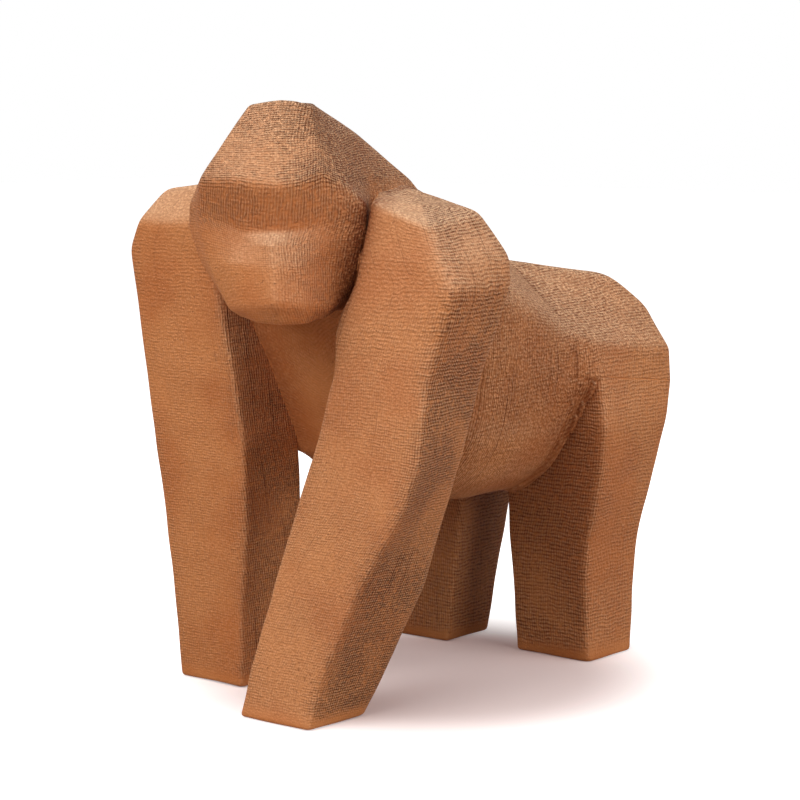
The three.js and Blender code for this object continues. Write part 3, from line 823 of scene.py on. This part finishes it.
# hollow, rebate and mouth in the belly, and the plate that closes them
cover = {"width": 28, "length": 38, "thickness": 4, "centre": 22, "belly": 65, "ledge": 3, "mouth": 32,
         "below": 6, "gap": 0.3, "edge": 0.8, "cutEdge": 0.2, "across": 0.5, "along": 0.5, "coarse": 0.4}
place = (shift[0], cover["centre"] + shift[1])
outer, inner = cover["width"] / 2 + cover["gap"], cover["width"] / 2 - cover["ledge"]
coverTop = cover["belly"] + cover["thickness"]
rebate = plateGrid(2 * outer, cover["length"] + 2 * cover["gap"], outer, cover["belly"] - cover["below"],
                   coverTop + cover["gap"], cover["cutEdge"], place)
mouth = plateGrid(2 * inner, cover["length"] - 2 * cover["ledge"], inner, cover["belly"],
                  cover["belly"] + cover["mouth"], cover["cutEdge"], place)
bellyCuts = [cutterOf("hollow_cut", trunkRings(trunk["hollow"]) + shift),
             cutterOf("rebate_cut", rebate), cutterOf("mouth_cut", mouth)]
carve(pieces["trunk"], bellyCuts)
cutters = [hipCut, *bellyCuts]
grid = plateGrid(cover["width"], cover["length"], cover["width"] / 2, cover["belly"], coverTop,
                 cover["edge"], place)
layers = {key: np.full(grid.shape[:2], float(cover.get(key, 0))) for key in layerNames}
pieces["belly_cover"] = skinPiece("belly_cover_cast", grid, plateThreads(grid), layers, castClay)

# dowel holes on both sides of each joint: the two middles and the direction
dowel = {"radius": 2.5, "length": 20, "chamfer": 0.6, "gap": 0.3, "sides": 40}
dowelPairs = {
    "head": ([(-8, -15, 161), (9, -15, 161)], (0, -0.6, 0.8)),
    "left_arm": ([(29, -41, 124), (30.5, -40, 148)], (1, 0, 0)),
    "right_arm": ([(-25, -42, 124), (-30, -43, 148)], (-1, 0, 0)),
    "left_leg": ([(32, 66, 110), (32, 84, 109)], (0, 0, -1)),
    "right_leg": ([(-32, 66, 110), (-32, 84, 109)], (0, 0, -1)),
}
holeSize = (dowel["radius"] + dowel["gap"], dowel["length"] + 2 * dowel["gap"],
            dowel["chamfer"], dowel["sides"])
for name, (points, direction) in dowelPairs.items():
    holes = [cutterOf("dowel_cut", pinGrid(np.array(point) + shift, direction, *holeSize))
             for point in points]
    carve(pieces[name], holes)
    carve(pieces["trunk"], holes)
    cutters += holes

beech = {"early": tint(201, 168, 120), "late": tint(160, 122, 78), "growth": 420, "rings": 40, "fibre": 2600,
         "ringShare": 0.6, "fibreShare": 0.3, "depth": 0.05, "strength": 0.4, "roughness": (0.6, 0.15)}


def woodGrain(name, look):
    # growth rings as a sine of slow noise, with darker late wood and fine fibres
    material, w, shader = newMaterial(name)
    spot = w.add("ShaderNodeTexCoord", output="Object")
    late = w.maths("SINE", spot.noise(look["growth"], 3) * look["rings"]) * 0.5 + 0.5
    darker = late * look["ringShare"] + spot.noise(look["fibre"], 2) * look["fibreShare"]
    bump = w.add("ShaderNodeBump", sockets={"Height": late, "Strength": look["strength"],
                                            "Distance": look["depth"] * mm})
    least, spread = look["roughness"]
    feed(w, shader, Base_Color=w.mix(look["early"], look["late"], darker), Roughness=least + late * spread,
         Normal=bump)
    return material


wool = {"dark": tint(52, 40, 33), "light": tint(96, 78, 66), "fibres": 2400, "clumps": 420,
        "fibreShare": 0.7, "clumpShare": 0.25, "clumpRise": 0.6, "depth": 0.25, "strength": 0.8,
        "roughness": 0.95, "gloss": 0.1}


def feltWool(name, look):
    # matted fibres: fine noise over clumps, in colour and bump
    material, w, shader = newMaterial(name)
    spot = w.add("ShaderNodeTexCoord", output="Object")
    fibres, clumps = spot.noise(look["fibres"], 4), spot.noise(look["clumps"], 3)
    lighter = fibres.stretch(0.35, 0.7) * look["fibreShare"] + clumps * look["clumpShare"]
    bump = w.add("ShaderNodeBump", sockets={"Height": fibres + clumps * look["clumpRise"],
                                            "Strength": look["strength"], "Distance": look["depth"] * mm})
    feed(w, shader, Base_Color=w.mix(look["dark"], look["light"], lighter), Roughness=look["roughness"],
         Normal=bump)
    shader.inputs["Specular IOR Level"].default_value = look["gloss"]
    return material


# felt pads let into pockets in the soles
pads = {"inset": 4, "radius": 4, "thickness": 1.2, "gap": 0.3, "edge": 0.45, "cutEdge": 0.1, "below": 2.0,
        "fuzz": 0.06, "fuzzLength": 3, "seed": 7}
felt = feltWool("wool_felt", wool)
feltPads = {}
for name in limbs:
    sole = rings[name][1]
    size = np.ptp(sole, axis=0)[:2] - 2 * pads["inset"]
    middle = sole.mean(0)[:2]
    pocket = plateGrid(*(size + 2 * pads["gap"]), pads["radius"] + pads["gap"], -pads["below"],
                       pads["thickness"] + pads["gap"], pads["cutEdge"], middle)
    cutters.append(cutterOf("pocket_cut", pocket))
    carve(pieces[name], cutters[-1:])
    grid = plateGrid(*size, pads["radius"], 0, pads["thickness"], pads["edge"], middle)
    fuzz = pads["fuzz"] * unevenness(grid, pads["fuzzLength"], pads["seed"])
    grid[..., :2] += fuzz[..., None] * normalsOf(grid)[..., :2]
    feltPads[name] = skinPiece(name + "_pad_felt", grid, plateThreads(grid), {}, felt)

for cutter in cutters:
    bpy.data.objects.remove(cutter)
for name, piece in pieces.items():
    dress(piece, name)
    piece.data.calc_loop_triangles()
    print(name, "triangles", len(piece.data.loop_triangles))
for name, piece in feltPads.items():
    dress(piece, name + "_pad")
wood = woodGrain("beech_grain", beech)
for name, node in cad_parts.items():
    if "dowel" in name:
        node.data.materials.clear()
        node.data.materials.append(wood)
print("cover, pads and dowels:", 1 + len(feltPads), "pieces")


def seenDirectly(w):
    # 1 for what the camera sees, by itself, in a reflection or through something
    camera, glossy, through = [w.add("ShaderNodeLightPath", output="Is " + ray + " Ray")
                               for ray in ("Camera", "Glossy", "Transmission")]
    return w.maths("MAXIMUM", w.maths("MAXIMUM", camera, glossy), through)


# shade: middle of the shadow, in m, with the painted glow there, a reddish lift of the shadow, and the
# distances over which that glow turns white
ground = {"side": 8.0, "dull": tint(140, 120, 105), "pale": tint(230, 218, 215), "roughness": 0.9,
          "shade": (0.015, -0.005, 0), "paintedGlow": (0.1, 0.055, 0.05, 1), "fade": (0.055, 0.125)}
white, black = (1, 1, 1, 1), (0, 0, 0, 1)


def paleFloor(look):
    # matte floor that the camera sees as white, but for the shadow round the figure; its camera-only glow is
    # painted light, reddish in the shadow and white away from it
    material, w, shader = newMaterial("pale_floor")
    spot = w.add("ShaderNodeTexCoord", output="Object")
    distance = w.add("ShaderNodeVectorMath", {"operation": "DISTANCE"}, {0: spot, 1: look["shade"]}, "Value")
    seen = seenDirectly(w)
    # painted glow: a reddish lift in the shadow near the figure, turning white farther out
    paintedGlow = w.mix(look["paintedGlow"], white, distance.stretch(*look["fade"]))
    feed(w, shader, Base_Color=w.mix(look["dull"], look["pale"], seen), Roughness=look["roughness"],
         Emission_Color=w.mix(black, paintedGlow, seen))
    shader.inputs["Emission Strength"].default_value = 1.0
    return material


reach = ground["side"] / 2
floorMesh = bpy.data.meshes.new("floor")
floorMesh.from_pydata([(-reach, -reach, 0), (reach, -reach, 0), (reach, reach, 0), (-reach, reach, 0)], [],
                      [(0, 1, 2, 3)])
floorMesh.materials.append(paleFloor(ground))
floor = bpy.data.objects.new("floor", floorMesh)
bpy.context.scene.collection.objects.link(floor)

# the world is white to the camera and gives no light
world = bpy.data.worlds.new("studio")
bpy.context.scene.world = world
world.use_nodes = True
background = world.node_tree.nodes["Background"]
background.inputs["Color"].default_value = white
world.node_tree.links.new(seenDirectly(Wire(world.node_tree)).socket, background.inputs["Strength"])

view = {"azimuth": 39.44, "elevation": 7.24, "distance": 0.91265, "aim": (0, 0, 104),
        "lens": 108, "sensor": 36}
azimuth, elevation = np.radians(view["azimuth"]), np.radians(view["elevation"])
level = Vector((np.sin(azimuth), -np.cos(azimuth), 0))
sideways = Vector((np.cos(azimuth), np.sin(azimuth), 0))
upward = Vector((0, 0, 1))
backward = level * np.cos(elevation) + upward * np.sin(elevation)
aim = Vector((np.array(view["aim"]) + shift) * mm)
camera = bpy.data.cameras.new("camera")
camera.lens, camera.sensor_width = view["lens"], view["sensor"]
eye = bpy.data.objects.new("camera", camera)
eye.location = aim + backward * view["distance"]
eye.rotation_euler = backward.to_track_quat("Z", "Y").to_euler()
bpy.context.scene.collection.objects.link(eye)
bpy.context.scene.camera = eye

# softboxes: power in W, side in m, and their direction as towards the camera, to its right and up
softboxes = {
    "key": (11.5, 1.2, (0.7, -0.58, 0.62)),
    "high": (8, 1.2, (0.35, -0.6, 0.9)),
    "top": (10, 1.4, (0.1, 0, 1.0)),
    "fill": (10, 1.0, (0.55, 0.8, 0.45)),
    "right": (3, 1.0, (0.1, 1.0, 0.3)),
    "front": (2.5, 0.7, (1.0, -0.1, 0.12)),
}
lampDistance = 1.5
for name, (power, side, (ahead, right, up)) in softboxes.items():
    towards = level * ahead + sideways * right + upward * up
    light = bpy.data.lights.new(name, "AREA")
    light.energy, light.shape, light.size = power, "SQUARE", side
    lamp = bpy.data.objects.new(name, light)
    lamp.location = aim + towards.normalized() * lampDistance
    lamp.rotation_euler = towards.to_track_quat("Z", "Y").to_euler()
    bpy.context.scene.collection.objects.link(lamp)
bpy.context.scene.view_settings.view_transform = "Standard"
print("studio:", len(softboxes), "softboxes")
